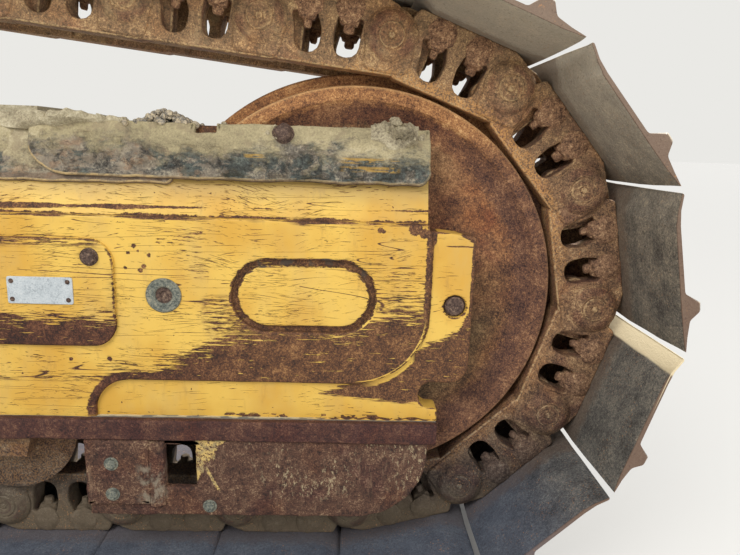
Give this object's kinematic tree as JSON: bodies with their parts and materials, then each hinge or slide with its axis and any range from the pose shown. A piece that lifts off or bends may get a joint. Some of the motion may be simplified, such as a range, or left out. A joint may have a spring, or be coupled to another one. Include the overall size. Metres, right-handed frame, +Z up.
{
  "type": "crawler track unit of a bulldozer",
  "caption": "Bulldozer track assembly: closed chain with grouser shoes round a front idler, rollers and a rear sprocket, on a worn box frame with guards and a diagonal brace.",
  "frame": {"origin": "middle of the footprint at the level of the shoes' grouser tips on the ground", "axes": "+X towards the idler at the front, +Y towards the tractor, +Z up"},
  "size_m": [4.3324, 1.01, 1.2526],
  "materials": {
    "worn_yellow_paint": "worn machine yellow with dark scratches, rust and bare brown patches",
    "rusty_track_steel": "rusty forged steel with packed earth",
    "grouser_steel": "worn rolled steel, brown grey with bright worn edges",
    "idler_steel": "orange brown rust with a polished tread",
    "worn_brown_steel": "red brown worn steel with remnants of paint",
    "muddy_plate": "plate under dried grey mud",
    "polished_shaft": "machined steel"
  },
  "bodies": {
    "track_frame": {"track": "rusty_track_steel", "idler_shaft": "polished_shaft", "idler_bearings": "worn_yellow_paint", "sprocket_rim": "grouser_steel", "sprocket_hub": "worn_yellow_paint", "sprocket_shaft": "polished_shaft", "track_roller_1": "rusty_track_steel", "roller_shaft_1": "rusty_track_steel", "track_roller_2": "rusty_track_steel", "roller_shaft_2": "rusty_track_steel", "track_roller_3": "rusty_track_steel", "roller_shaft_3": "rusty_track_steel", "track_roller_4": "rusty_track_steel", "roller_shaft_4": "rusty_track_steel", "track_roller_5": "rusty_track_steel", "roller_shaft_5": "rusty_track_steel", "track_roller_6": "rusty_track_steel", "roller_shaft_6": "rusty_track_steel", "track_roller_7": "rusty_track_steel", "roller_shaft_7": "rusty_track_steel", "carrier_roller_1": "rusty_track_steel", "carrier_bracket_1": "worn_yellow_paint", "carrier_roller_2": "rusty_track_steel", "carrier_bracket_2": "worn_yellow_paint", "frame_beam": "worn_yellow_paint", "frame_legs": "worn_yellow_paint", "bottom_rails": "worn_brown_steel", "fork_outer": "worn_yellow_paint", "fork_inner": "worn_yellow_paint", "side_plate_outer": "worn_yellow_paint", "side_plate_inner": "worn_yellow_paint", "oval_covers": "worn_yellow_paint", "spring_cover": "worn_yellow_paint", "lifting_socket": "worn_brown_steel", "frame_bolts": "worn_brown_steel", "shoulder_plate_lower": "muddy_plate", "shoulder_plate_upper": "muddy_plate", "front_guards": "worn_brown_steel", "guard_straps": "worn_brown_steel", "rear_guards": "worn_brown_steel", "rear_arm": "worn_yellow_paint", "rear_cap": "worn_yellow_paint", "diagonal_brace": "worn_yellow_paint", "equalizer_saddle": "worn_yellow_paint"},
    "idler": {"idler_wheel": "idler_steel"}
  },
  "joints": [
    {"name": "idler_spin", "type": "hinge", "parent": "track_frame", "child": "idler", "pos_m": [1.61629, -0.2, 0.56054], "axis": [0, 1, 0], "continuous": true}
  ]
}
